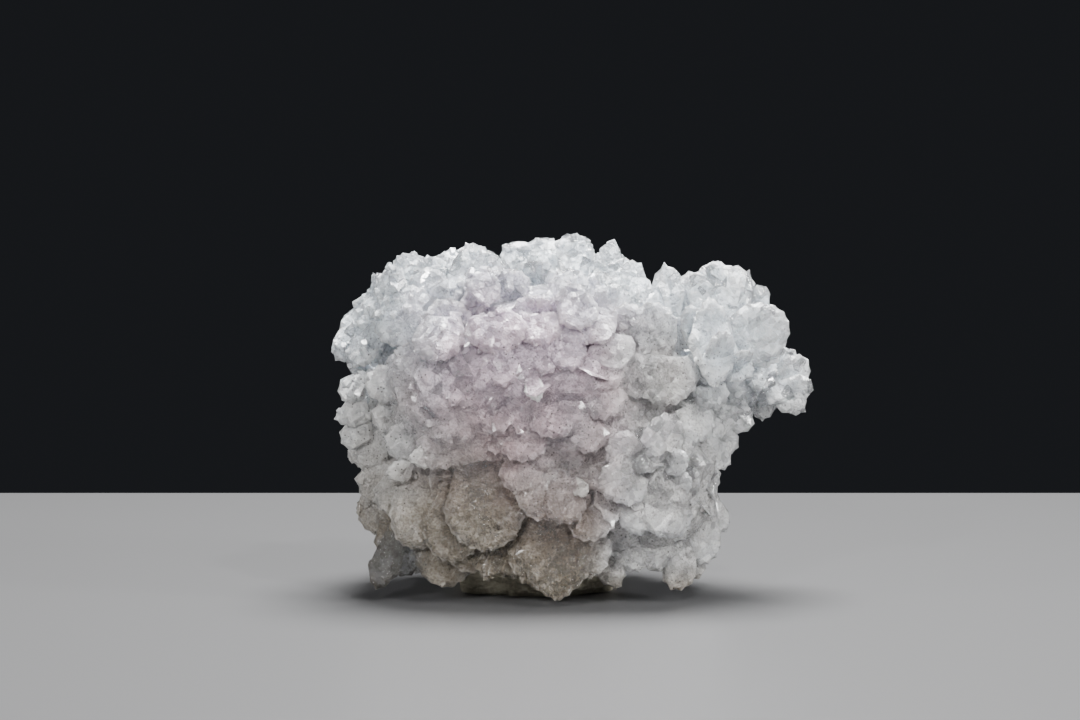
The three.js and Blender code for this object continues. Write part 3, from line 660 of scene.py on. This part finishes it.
class Graph:
    """A node tree that grows by expressions and by make()."""

    def __init__(self, tree):
        self.tree = tree

    def make(self, kind, settings=None, sockets=None, out=0):
        """Makes a node, sets it up and feeds its sockets. out: the output to give back, or a list of them."""
        node = self.tree.nodes.new(kind)
        for name, value in (settings or {}).items():
            if name == "stops":
                while len(node.color_ramp.elements) < len(value):
                    node.color_ramp.elements.new(1)
                for element, (place, colour) in zip(node.color_ramp.elements, value):
                    element.position = place
                    element.color = colour
            else:
                setattr(node, name, value)
        for name, value in (sockets or {}).items():
            for part in value if isinstance(value, list) else [value]:
                if isinstance(part, Field):
                    self.tree.links.new(part.socket, node.inputs[name])
                else:
                    node.inputs[name].default_value = part
        if isinstance(out, list):
            return [Field(self, node.outputs[each]) for each in out]
        return Field(self, node.outputs[out]) if len(node.outputs) else None

    def math(self, operation, *parts):
        return self.make("ShaderNodeMath", {"operation": operation}, dict(enumerate(parts)))

    def vector_math(self, operation, *parts):
        out = "Value" if operation in ("DISTANCE", "DOT_PRODUCT") else "Vector"
        return self.make("ShaderNodeVectorMath", {"operation": operation}, dict(enumerate(parts)), out)

    def scaled(self, vector, scale):
        return self.make("ShaderNodeVectorMath", {"operation": "SCALE"}, {"Vector": vector, "Scale": scale})

    def split(self, vector):
        return self.make("ShaderNodeSeparateXYZ", {}, {0: vector}, out=[0, 1, 2])

    def joined(self, x, y, z):
        return self.make("ShaderNodeCombineXYZ", {}, {0: x, 1: y, 2: z})

    def mix_colour(self, factor, a, b, blend="MIX"):
        settings = {"data_type": "RGBA", "blend_type": blend}
        return self.make("ShaderNodeMix", settings, {0: factor, 6: a, 7: b}, out=2)

    def mix_vector(self, factor, a, b):
        return self.make("ShaderNodeMix", {"data_type": "VECTOR"}, {0: factor, 4: a, 5: b}, out=1)

    def clouds(self, vector, scale, detail):
        """Cloudy noise, around a half."""
        return self.make("ShaderNodeTexNoise", {}, {"Vector": vector, "Scale": scale, "Detail": detail})

    def cells(self, vector, scale):
        """Cells of a pattern: each one's random vector, and its middle."""
        sockets = {"Vector": vector, "Scale": scale}
        return self.make("ShaderNodeTexVoronoi", {}, sockets, out=["Color", "Position"])

    def near(self, place, middle, inner, outer):
        """1 within the inner distance from a middle, 0 beyond the outer one."""
        return 1 - self.vector_math("DISTANCE", place, middle).ramp(inner, outer)


class GrowthGraph(Graph):
    """A geometry tree with named inputs, each given as its kind or as the number that it starts with."""

    def __init__(self, name, inputs):
        super().__init__(bpy.data.node_groups.new(name, "GeometryNodeTree"))
        face = self.tree.interface
        face.new_socket("Geometry", in_out="OUTPUT", socket_type="NodeSocketGeometry")
        self.identifiers = {}
        for label, value in inputs.items():
            kind = value if isinstance(value, str) else "Float"
            socket = face.new_socket(label, in_out="INPUT", socket_type="NodeSocket" + kind)
            if kind == "Float":
                socket.default_value = value
            self.identifiers[label] = socket.identifier
        self.given = self.tree.nodes.new("NodeGroupInput")

    def input(self, label):
        return Field(self, self.given.outputs[label])

    def attribute(self, name, kind):
        return self.make("GeometryNodeInputNamedAttribute", {"data_type": kind}, {"Name": name})

    def random(self, low, high, seed):
        inputs = {2: low, 3: high, "Seed": seed}
        return self.make("FunctionNodeRandomValue", {"data_type": "FLOAT"}, inputs, out=1)

    def random_number(self, low, high, seed):
        inputs = {4: low, 5: high, "Seed": seed}
        return self.make("FunctionNodeRandomValue", {"data_type": "INT"}, inputs, out=2)

    def random_vector(self, seed):
        inputs = {0: (-1, -1, -1), 1: (1, 1, 1), "Seed": seed}
        return self.make("FunctionNodeRandomValue", {"data_type": "FLOAT_VECTOR"}, inputs)

    def compare(self, a, operation, b):
        return self.make("FunctionNodeCompare", {"operation": operation}, {0: a, 1: b})

    def moved(self, geometry, offset, which=True):
        sockets = {"Geometry": geometry, "Selection": which, "Offset": offset}
        return self.make("GeometryNodeSetPosition", {}, sockets)

    def fused(self, parts):
        """The union of closed meshes."""
        union = {"operation": "UNION", "solver": "MANIFOLD"}
        return self.make("GeometryNodeMeshBoolean", union, {"Mesh 2": parts})

    def finish(self, geometry, material):
        """Ends the tree in Realize Instances and Set Material."""
        plain = self.make("GeometryNodeRealizeInstances", {}, {"Geometry": geometry})
        dressed = self.make("GeometryNodeSetMaterial", {}, {"Geometry": plain, "Material": material})
        self.make("NodeGroupOutput", {}, {"Geometry": dressed})
        return self.tree


# ---- Growth ------------------------------------------------------------------------------------------------

# A crystal one unit tall: the height of its body, its half width at the body's top and at its root, how far
# below the tip only the tip itself still lies, and the distance within which its points are welded.
CRYSTAL = {"sides": 6, "body": 0.66, "half": 0.5, "root": 0.3, "tip": 0.01, "weld": 0.001}
# How far the tips of the four kinds of crystals stand off their axis.
TIP_SHIFTS = ((0, 0, 0), (0.16, 0, -0.04), (-0.1, 0.12, -0.02), (-0.05, -0.2, -0.06))
# How a coat grows. per_place: how many points are tried for each that fits. tall and rise: the ranges of the
# shards' random height and rise, over their own.
COAT = {"per_place": 3, "tall": (0.8, 1.25), "rise": (0.5, 1.4)}
# Small petals wherever the cores would show between the placed ones, then fine crystals.
SCALES = {"Spacing": 0.0021, "Width": 0.0039, "Width Spread": 0.3, "Slenderness": 1.15, "Flatness": 0.9,
          "Rise": 0.2, "Lean": 0.84, "Scatter": 0.14, "Seed": 3}
SUGAR = {"Spacing": 0.00108, "Width": 0.0014, "Width Spread": 0.4, "Slenderness": 1.3, "Flatness": 0.8,
         "Rise": 0.2, "Lean": 0.5, "Scatter": 0.3, "Seed": 11}
# A coat's sizes start as those of the small petals.
COAT_INPUTS = {
    "Surface": "Geometry", "Guide": "Geometry", "Kinds": "Geometry", "Amount": 1.0, **SCALES, "Seed": "Int",
}
# The heights and sides are in metres.
GROWTH_INPUTS = {
    "Geometry": "Geometry", "Petal Kinds": "Object", "Sugar Height": 0.036, "Sugar Side": 0.021,
    "Sugar Least": 0.22, "Crease": math.radians(10), "Material": "Material",
}
BIGGEST = 0.99  # islands smaller than this share of the biggest go


def crystal_shape(graph, shift):
    """A six-sided crystal with its tip at the origin and its root one unit below. shift: how far the tip
    stands off its axis, as the tips of abraded and crowded crystals do."""
    body, half, root = CRYSTAL["body"], CRYSTAL["half"], CRYSTAL["root"]
    parts = []
    for low, high, tall, height in ((root, half, body, -1.0), (half, 0.0, 1 - body, body - 1)):
        sockets = {"Vertices": CRYSTAL["sides"], "Radius Bottom": low, "Radius Top": high, "Depth": tall}
        parts.append((graph.make("GeometryNodeMeshCone", {"fill_type": "NONE"}, sockets), height))
    foot = {"Vertices": CRYSTAL["sides"], "Radius": root}
    foot = graph.make("GeometryNodeMeshCircle", {"fill_type": "NGON"}, foot)
    parts.append((graph.make("GeometryNodeFlipFaces", {}, {"Mesh": foot}), -1.0))
    moved = [
        graph.make("GeometryNodeTransform", {}, {"Geometry": part, "Translation": (0, 0, height)})
        for part, height in parts
    ]
    whole = graph.make("GeometryNodeJoinGeometry", {}, {"Geometry": moved})
    closed = graph.make("GeometryNodeMergeByDistance", {}, {"Geometry": whole, "Distance": CRYSTAL["weld"]})
    height = graph.split(graph.make("GeometryNodeInputPosition"))[2]
    return graph.moved(closed, shift, graph.compare(height, "GREATER_THAN", -CRYSTAL["tip"]))


def crystal_kinds(graph):
    """Four crystals that differ in where their tips stand, as instances."""
    shapes = [crystal_shape(graph, shift) for shift in TIP_SHIFTS]
    kinds = [graph.make("GeometryNodeGeometryToInstance", {}, {0: shape}) for shape in shapes]
    return graph.make("GeometryNodeJoinGeometry", {}, {"Geometry": kinds})


def coat_way(graph, outwards, seed):
    """The way that a coat's shards point: between the surface's own way out and that in which the guide's
    nearest petal grows."""
    grow = graph.make(
        "GeometryNodeSampleNearestSurface",
        {"data_type": "FLOAT_VECTOR"},
        {"Mesh": graph.input("Guide"), "Value": graph.attribute("grow", "FLOAT_VECTOR")},
    )
    way = graph.mix_vector(graph.input("Lean"), outwards, grow)
    way = graph.vector_math("ADD", way, graph.scaled(graph.random_vector(seed + 1), graph.input("Scatter")))
    return graph.vector_math("NORMALIZE", way)


def coat_turn(graph, way, outwards):
    """How a coat's shards are turned: along their way, with their flat sides outwards."""
    along = graph.make("FunctionNodeAlignRotationToVector", {"axis": "Z"}, {"Vector": way})
    settings = {"axis": "Y", "pivot_axis": "Z"}
    return graph.make("FunctionNodeAlignRotationToVector", settings, {"Rotation": along, "Vector": outwards})


def coat_tree():
    """Shards grown all over a surface and fused with it."""
    graph = GrowthGraph("crystal_coat", COAT_INPUTS)
    surface, spacing, seed = graph.input("Surface"), graph.input("Spacing"), graph.input("Seed")
    points, outwards = graph.make(
        "GeometryNodeDistributePointsOnFaces",
        {"distribute_method": "POISSON"},
        {"Mesh": surface, "Distance Min": spacing, "Density Max": COAT["per_place"] / (spacing * spacing),
         "Density Factor": graph.input("Amount"), "Seed": seed},
        out=["Points", "Normal"],
    )
    way = coat_way(graph, outwards, seed)
    spread = graph.input("Width Spread")
    width = graph.input("Width") * graph.random(1 - spread, 1 + spread, seed + 2)
    tall = width * graph.input("Slenderness") * graph.random(*COAT["tall"], seed + 3)
    rise = width * graph.input("Rise") * graph.random(*COAT["rise"], seed + 4)
    shards = graph.make("GeometryNodeInstanceOnPoints", {}, {
        "Points": graph.moved(points, graph.scaled(way, rise)),
        "Instance": graph.input("Kinds"), "Pick Instance": True,
        "Instance Index": graph.random_number(0, len(TIP_SHIFTS) - 1, seed + 5),
        "Rotation": coat_turn(graph, way, outwards),
        "Scale": graph.joined(width, width * graph.input("Flatness"), tall),
    })
    graph.make("NodeGroupOutput", {}, {"Geometry": graph.fused([surface, shards])})
    return graph.tree


def by_number(graph, geometry):
    """The shards of a mesh as instances."""
    sockets = {"Geometry": geometry, "Group ID": graph.attribute("shard", "INT")}
    return graph.make("GeometryNodeSplitToInstances", {"domain": "FACE"}, sockets)


def sugar_amount(graph):
    """How densely the fine crystals grow: most above their height, but on the flower, and beyond their side;
    least near the ground and on the placed petals."""
    x, _, z = graph.split(graph.make("GeometryNodeInputPosition"))
    height, side = graph.input("Sugar Height"), graph.input("Sugar Side")
    flower = x.ramp(0.013, 0.017)
    high = z.ramp(height - 0.004, height + 0.002) * (1 - flower * 0.9)
    aside = (x * -1.0).ramp(side - 0.003, side + 0.002)
    bare = 1 - graph.attribute("coat", "FLOAT").ramp(0.05, 0.5)
    least = graph.input("Sugar Least") * (0.25 + z.ramp(0.007, 0.015) * 0.75) * (1 - bare * 0.75)
    return high.at_least(aside * 0.6).at_least(least)


def outer_skin(graph, surface):
    """The surface's biggest island, without the skins of the closed hollows inside it."""
    skin = graph.make("GeometryNodeInputMeshIsland", {}, {}, out="Island Index")
    area = {"Value": graph.make("GeometryNodeInputMeshFaceArea"), "Group Index": skin}
    island = graph.make("GeometryNodeAccumulateField", {"domain": "FACE"}, area, out="Total")
    values = {"Geometry": surface, 2: island}
    biggest = graph.make("GeometryNodeAttributeStatistic", {"domain": "FACE"}, values, out="Max")
    smaller = graph.compare(island, "LESS_THAN", biggest * BIGGEST)
    sockets = {"Geometry": surface, "Selection": smaller}
    return graph.make("GeometryNodeDeleteGeometry", {"domain": "FACE"}, sockets)


def creased(graph, surface):
    """The surface shaded smooth, with crisp edges where it bends by more than the crease."""
    smooth = graph.make("GeometryNodeSetShadeSmooth", {"domain": "FACE"}, {"Geometry": surface})
    sharp = graph.compare(graph.make("GeometryNodeInputMeshEdgeAngle"), "GREATER_THAN", graph.input("Crease"))
    sockets = {"Geometry": smooth, "Selection": sharp, "Shade Smooth": False}
    return graph.make("GeometryNodeSetShadeSmooth", {"domain": "EDGE"}, sockets)


def growth_tree():
    """Fuses the petals, coats them twice, and keeps the outer skin alone."""
    graph = GrowthGraph("amethyst_growth", GROWTH_INPUTS)
    petals = graph.input("Geometry")
    kinds = graph.make("GeometryNodeObjectInfo", {}, {"Object": graph.input("Petal Kinds")}, out="Geometry")
    coat = {"node_tree": coat_tree()}
    surface = graph.fused([by_number(graph, petals)])
    surface = graph.make("GeometryNodeGroup", coat, {
        "Surface": surface, "Guide": petals, "Kinds": by_number(graph, kinds),
        "Amount": graph.attribute("coat", "FLOAT"), **SCALES,
    })
    surface = graph.make("GeometryNodeGroup", coat, {
        "Surface": surface, "Guide": petals, "Kinds": crystal_kinds(graph),
        "Amount": sugar_amount(graph), **SUGAR,
    })
    surface = creased(graph, outer_skin(graph, surface))
    return graph.finish(surface, graph.input("Material")), graph.identifiers


# ---- Finishes ----------------------------------------------------------------------------------------------

QUARTZ_IOR = 1.54
# The quartz's colours. The body's run from the smoky bottom to the top, the darker bottom partly painted
# shade, and so do those of its frost, which also paints the highlights.
BODY_STOPS = [
    (0.0, (0.19, 0.155, 0.11, 1)),
    (0.28, (0.265, 0.228, 0.177, 1)),
    (0.55, (0.60, 0.585, 0.56, 1)),
    (0.9, (0.83, 0.90, 0.97, 1)),
]
CREAM = (0.83, 0.82, 0.80, 1)
FROST_LOW = (0.80, 0.73, 0.62, 1)
FROST_HIGH = (0.93, 0.94, 0.955, 1)
SHADE = (0.10, 0.09, 0.09, 1)
MAUVE = (0.82, 0.61, 0.69, 1)
SPECK = (0.06, 0.04, 0.03, 1)
CLEAR = (0.94, 0.97, 0.99, 1)
HAZE = (0.84, 0.80, 0.84, 1)

# Places that are greyer or paler than their height alone would make them: the middle, and by how much.
GREY_SPOTS = [
    ((0.0145, -0.014, 0.031), -0.2),
    ((-0.0185, -0.012, 0.027), -0.2),
    ((0.003, -0.019, 0.0155), 0.14),
]
GREY_REACH = (0.003, 0.011)
# Places where clear and milky crystals change quickly: the middle, how far they reach, and how strongly.
GLASSY_SPOTS = [
    ((0.032, -0.002, 0.026), 0.009, 1.0),
    ((-0.027, -0.004, 0.030), 0.009, 1.0),
    ((0.025, -0.003, 0.040), 0.009, 1.0),
    ((0.0165, -0.018, 0.0205), 0.007, 0.5),
    ((-0.012, -0.017, 0.028), 0.006, 0.8),
]
GLASSY_CORE = 0.4  # how far out they are at their full strength, over their reach
# The mauve spots and the clear claw: the middle, how far out they are at their full strength, where they end,
# and how strong they are.
MAUVE_SPOT = ((-0.002, -0.018, 0.028), 0.004, 0.021, 0.95)
LOW_MAUVE_SPOT = ((0.003, -0.018, 0.014), 0.003, 0.011, 0.45)
CLAW_SPOT = ((-0.0175, -0.012, 0.004), 0.0025, 0.006, 0.75)


def new_material(name):
    material = bpy.data.materials.new(name)
    material.use_nodes = True
    material.node_tree.nodes.clear()
    return material, Graph(material.node_tree)


def facets(graph, place, scale, slope):
    """A surface broken into small flat faces that tilt their own way: its height, and each face's painted
    light and shade, taken from the sideways part of its tilt.
    """
    tint, middle = graph.cells(place, scale)
    tilt = graph.vector_math("SUBTRACT", tint, (0.5, 0.5, 0.5))
    height = graph.vector_math("DOT_PRODUCT", graph.vector_math("SUBTRACT", place, middle), tilt) * slope
    return height, graph.split(tint)[0] - 0.5


def feathers(graph, place, scale):
    """Fine growth lines that run outwards from many middles, around a half."""
    AROUND, OUTWARDS, APART = 9, 500, 40  # how quickly they change, and how much the middles' lines differ
    tint, middle = graph.cells(place, scale)
    x, y, z = graph.split(graph.vector_math("SUBTRACT", place, middle))
    turn = graph.math("ARCTAN2", z, x)
    reach = graph.math("SQRT", x * x + y * y + z * z)
    own = graph.split(tint)[0]
    return graph.clouds(graph.joined(turn * AROUND, reach * OUTWARDS, own * APART), 1.0, 2.0)


class Quartz:
    """The patterns that the quartz's finish is made of. Their scales count cells per metre."""

    def __init__(self, graph):
        self.graph = graph
        self.place = graph.make("ShaderNodeTexCoord", {}, {}, out="Object")
        self.x, _, self.z = graph.split(self.place)
        self.cloud = graph.clouds(self.place, 160.0, 4.0)
        self.veil = graph.clouds(self.place, 520.0, 5.0)
        self.grain = graph.clouds(self.place, 3700.0, 3.0)
        self.lines = feathers(graph, self.place, 260.0)
        # The small faces of the relief, each with its painted light and shade.
        self.steps, self.step_shading = facets(graph, self.place, 620.0, 0.3)
        self.chips, self.chip_shading = facets(graph, self.place, 1500.0, 1.1)
        self.rim = graph.make("ShaderNodeAttribute", {"attribute_name": "rim"}, {}, out="Fac")
        self.tone = graph.make("ShaderNodeAttribute", {"attribute_name": "tone"}, {}, out="Fac")
        # Petals of high tone are whitened: frost on some, and painted glints on the bright flakes.
        self.glint = self.tone.ramp(1.0, 3.0)
        self.beside = self.x.ramp(0.005, 0.011) * (1 - self.z.ramp(0.020, 0.030)) * self.z.ramp(0.001, 0.006)
        self.glassy = self.glassy_places()
        self.height = self.paleness()
        self.depth = self.height.at_least(self.beside)

    def spot(self, middle, inner, outer, share):
        """The share at a spot, less towards its edge and 0 around it."""
        return self.graph.near(self.place, middle, inner, outer) * share

    def paleness(self):
        """How pale the body is: smoky at the bottom and white at the top, partly as a tint and partly as
        painted shade below and painted light above, and paler again at the sides.
        """
        sides = self.x.ramp(0.016, 0.024) * 0.009 + (self.x * -1.0).ramp(0.007, 0.018) * 0.006
        height = (self.z + (self.cloud - 0.5) * 0.008 + sides).ramp(0.001, 0.042)
        for middle, lift in GREY_SPOTS:
            height = height + self.spot(middle, *GREY_REACH, lift)
        return height

    def glassy_places(self):
        """Where clear and milky crystals change quickly: at the top, and around the spots."""
        glassy = self.z.ramp(0.036, 0.043) * 0.8
        for middle, reach, share in GLASSY_SPOTS:
            glassy = glassy.at_least(self.spot(middle, reach * GLASSY_CORE, reach, share))
        return glassy

    def mauve(self):
        """A breath of mauve in the middle of the front, and a fainter one below it."""
        middle, inner, outer, share = MAUVE_SPOT
        reach = self.graph.vector_math("DISTANCE", self.place, middle) + (self.cloud - 0.5) * 0.012
        return ((1 - reach.ramp(inner, outer)) * share).at_least(self.spot(*LOW_MAUVE_SPOT))

    def brightness(self):
        """How far the colour goes towards white, above 0, and towards dark, below it: random frost, grain and
        growth lines, with painted light and shade on the small faces, painted light on the rims, on sharp
        edges and in the recesses, and painted glints on the bright flakes.
        """
        glassy, rim = self.glassy, self.rim
        bend = self.graph.make("ShaderNodeNewGeometry", {}, {}, out="Pointiness")
        # Painted highlight on sharp convex edges, and painted light in the recesses, where shade would fall.
        painted_edge_highlight = bend.ramp(0.515, 0.60)
        painted_nook_light = 1 - bend.ramp(0.38, 0.49)
        # A random veil, and each small face painted lighter or darker by its tilt.
        bright = (self.veil - 0.5) * (0.5 + glassy * 0.6) + self.step_shading * (0.2 + glassy * 0.3)
        bright = bright + self.chip_shading * 0.26
        # Each petal's tone, and the rims painted lighter as if lit through, with a thin painted highlight at
        # the very edge.
        bright = bright + self.tone * 0.18 + rim * (0.1 + glassy * 0.3) + rim.ramp(0.72, 1.0) * 1.4 - 0.05
        return bright + painted_edge_highlight * 0.45 + painted_nook_light * 0.1 + (self.grain - 0.5) * 2.0 + (self.lines - 0.5) * 1.3

    def frost_and_painted_light(self, colour, bright):
        """The colour mixed towards white by frost and painted highlights, and towards dark by painted shade
        and darker patches. The smoky bottom, partly painted shade, gets less of the white.
        """
        frost = self.graph.mix_colour(self.depth, FROST_LOW, FROST_HIGH)
        pale = bright.clamped(0.0, 0.9) * (0.36 + self.depth * 0.64)
        flecks = self.grain.ramp(0.61, 0.68) * 0.4 * (0.5 + self.depth * 0.5)
        colour = self.graph.mix_colour(pale.at_least(flecks).at_least(self.glint * 0.85), colour, frost)
        return self.graph.mix_colour((bright * -1.0).clamped(0.0, 0.6), colour, SHADE)

    def specks(self):
        """Dark specks in patches, apart from the top."""
        flaws = {"Vector": self.place, "Scale": 1600.0}
        flaws = self.graph.make("ShaderNodeTexVoronoi", {}, flaws, out="Distance")
        patch = self.graph.clouds(self.place, 260.0, 2.0).ramp(0.45, 0.53)
        return (1 - flaws.ramp(0.13, 0.21)) * patch * (1 - self.z.ramp(0.030, 0.038))

    def colour(self):
        body = self.graph.make("ShaderNodeValToRGB", {"stops": BODY_STOPS}, {0: self.height})
        colour = self.graph.mix_colour(self.beside * 0.9, body, CREAM)
        colour = self.frost_and_painted_light(colour, self.brightness())
        colour = self.graph.mix_colour(self.mauve() * (1 - self.glint), colour, MAUVE, "MULTIPLY")
        return self.graph.mix_colour(self.specks() * 0.9, colour, SPECK)

    def relief(self):
        """Steps, chips, growth lines and grain, in metres."""
        height = self.steps + self.chips + self.lines * 0.00013 + self.grain * 0.00018
        return self.graph.make("ShaderNodeBump", {}, {"Height": height, "Distance": 1.0, "Strength": 1.0})

    def clearness(self):
        """How much of the clear quartz shows: more at the rims, beside the foot and in the glassy places."""
        clear = self.cloud.ramp(0.35, 0.75) * 0.3 + 0.24 + self.rim * 0.12 + self.beside * 0.12
        clear = clear + self.spot(*CLAW_SPOT) + self.glassy * 0.12
        # Each small face's clearness follows the same numbers as its painted light and shade.
        clear = clear + self.step_shading * (0.25 + self.glassy) + self.chip_shading * 0.2
        return (clear * (1 - self.glint * 0.5)).clamped(0.05, 0.85)


def milky_quartz(quartz, relief):
    return quartz.graph.make("ShaderNodeBsdfPrincipled", {}, {
        "Base Color": quartz.colour(), "Roughness": 0.24 + (quartz.veil - 0.5) * 0.3 - quartz.glint * 0.1,
        "IOR": QUARTZ_IOR, "Normal": relief,
        "Subsurface Weight": 0.4, "Subsurface Radius": (1.0, 0.95, 0.98), "Subsurface Scale": 0.0015,
        "Coat Weight": 1.0, "Coat Roughness": 0.05,
    })


def clear_quartz(quartz, relief):
    return quartz.graph.make("ShaderNodeBsdfPrincipled", {}, {
        "Base Color": CLEAR, "Roughness": 0.1, "IOR": QUARTZ_IOR, "Normal": relief,
        "Transmission Weight": 1.0,
    })


def amethyst_finish():
    """Pale quartz: milky within, clearer at the rims, a breath of mauve in the middle and smoky below, the
    darkness there partly painted shade, with painted light and glints on its faces and rims.
    """
    material, graph = new_material("amethyst")
    quartz = Quartz(graph)
    relief = quartz.relief()
    parts = {0: quartz.clearness(), 1: milky_quartz(quartz, relief), 2: clear_quartz(quartz, relief)}
    shader = graph.make("ShaderNodeMixShader", {}, parts)
    haze = graph.make("ShaderNodeVolumeAbsorption", {}, {"Color": HAZE, "Density": 25.0})
    graph.make("ShaderNodeOutputMaterial", {}, {"Surface": shader, "Volume": haze})
    return material


def matrix_finish():
    """Dark olive-grey host rock with pale grains."""
    material, graph = new_material("matrix_stone")
    place = graph.make("ShaderNodeTexCoord", {}, {}, out="Object")
    lump = graph.clouds(place, 240.0, 6.0)
    grain = graph.clouds(place, 1800.0, 4.0)
    colour = graph.make("ShaderNodeValToRGB", {"stops": [
        (0.3, (0.15, 0.135, 0.095, 1)), (0.5, (0.36, 0.33, 0.25, 1)), (0.68, (0.62, 0.58, 0.46, 1)),
    ]}, {0: lump * 0.6 + grain * 0.4})
    relief = graph.make("ShaderNodeBump", {}, {"Height": grain + lump, "Distance": 0.0004, "Strength": 0.8})
    rock = graph.make("ShaderNodeBsdfPrincipled", {}, {
        "Base Color": colour, "Roughness": 0.78 + (grain - 0.5) * 0.3, "Normal": relief,
    })
    graph.make("ShaderNodeOutputMaterial", {}, {"Surface": rock})
    return material


def floor_finish():
    material, graph = new_material("pale_floor")
    floor = {"Base Color": FLOOR["colour"], "Roughness": FLOOR["roughness"]}
    floor = graph.make("ShaderNodeBsdfPrincipled", {}, floor)
    graph.make("ShaderNodeOutputMaterial", {}, {"Surface": floor})
    return material


# ---- Pieces ------------------------------------------------------------------------------------------------

def baked(piece):
    """The piece with its modifiers turned into a plain mesh."""
    graph = bpy.context.evaluated_depsgraph_get()
    mesh = bpy.data.meshes.new_from_object(piece.evaluated_get(graph))
    piece.modifiers.clear()
    old, piece.data = piece.data, mesh
    mesh.name = piece.name
    bpy.data.meshes.remove(old)
    return piece


def grow_crystals(material):
    piece = petal_mass()
    growth = piece.modifiers.new("growth", "NODES")
    tree, sockets = growth_tree()
    kinds = petal_kinds()
    growth.node_group = tree
    growth[sockets["Petal Kinds"]] = kinds
    growth[sockets["Material"]] = material
    seat = stone_mesh("seat", STONE["seam"], 0)
    cut = piece.modifiers.new("seat", "BOOLEAN")
    cut.operation, cut.solver, cut.object = "DIFFERENCE", "MANIFOLD", seat
    baked(piece)
    bpy.data.objects.remove(seat)
    bpy.data.objects.remove(kinds)
    for layer in ("shard", "grow", "coat", ".select_vert", ".select_edge", ".select_poly"):
        if layer in piece.data.attributes:
            piece.data.attributes.remove(piece.data.attributes[layer])
    return piece


def make_stone(material):
    piece = stone_mesh("matrix_foot", STONE["skin"], STONE["pits"])
    piece.data.materials.append(material)
    return piece


# ---- Set ---------------------------------------------------------------------------------------------------

# In metres, degrees and watts.
FLOOR = {"half_wide": 0.45, "half_deep": 0.1, "colour": (0.095, 0.095, 0.097, 1), "roughness": 0.42}
CAMERA = {"place": (0.0005, -0.3431, 0.0530), "down": 4, "lens": 90, "sensor": 36, "clip": 0.01}
SURROUNDINGS = (0.012, 0.013, 0.015, 1)
AIM = (0.003, 0, 0.022)
# The lamps: name, place, size, power.
LAMPS = [
    ("overhead", (0.03, 0.09, 0.40), 0.22, 8.4),
    ("front_fill", (0.16, -0.34, 0.26), 0.12, 0.4),
    ("sparkle", (-0.16, -0.36, 0.22), 0.03, 0.9),
    ("sparkle_high", (0.14, -0.22, 0.32), 0.025, 0.8),
    ("right_side", (0.30, -0.12, 0.16), 0.08, 0.9),
    ("left_side", (-0.30, -0.14, 0.14), 0.08, 0.35),
]


def add_floor():
    mesh = bpy.data.meshes.new("floor")
    wide, deep = FLOOR["half_wide"], FLOOR["half_deep"]
    corners = [(-wide, -deep, 0), (wide, -deep, 0), (wide, deep, 0), (-wide, deep, 0)]
    mesh.from_pydata(corners, [], [(0, 1, 2, 3)])
    floor = link_mesh("floor", mesh)
    mesh.materials.append(floor_finish())


def add_light(name, place, size, power):
    lamp = bpy.data.lights.new(name, "AREA")
    lamp.shape, lamp.size, lamp.energy = "DISK", size, power
    light = bpy.data.objects.new(name, lamp)
    light.location = place
    light.rotation_euler = (Vector(AIM) - Vector(place)).to_track_quat("-Z", "Y").to_euler()
    bpy.context.scene.collection.objects.link(light)


def add_surroundings():
    world = bpy.data.worlds.new("studio")
    world.use_nodes = True
    world.node_tree.nodes["Background"].inputs["Color"].default_value = SURROUNDINGS
    bpy.context.scene.world = world


def add_camera():
    lens = bpy.data.cameras.new("camera")
    lens.lens, lens.sensor_width, lens.clip_start = CAMERA["lens"], CAMERA["sensor"], CAMERA["clip"]
    camera = bpy.data.objects.new("camera", lens)
    camera.location = CAMERA["place"]
    camera.rotation_euler = (math.radians(90 - CAMERA["down"]), 0, 0)
    bpy.context.scene.collection.objects.link(camera)
    bpy.context.scene.camera = camera


def main():
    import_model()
    add_camera()
    for lamp in LAMPS:
        add_light(*lamp)
    add_surroundings()
    add_floor()

    crystals = grow_crystals(amethyst_finish())
    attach(crystals, "root")
    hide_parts("amethyst_crystals")

    stone = make_stone(matrix_finish())
    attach(stone, "root")
    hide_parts("matrix_stone")


main()
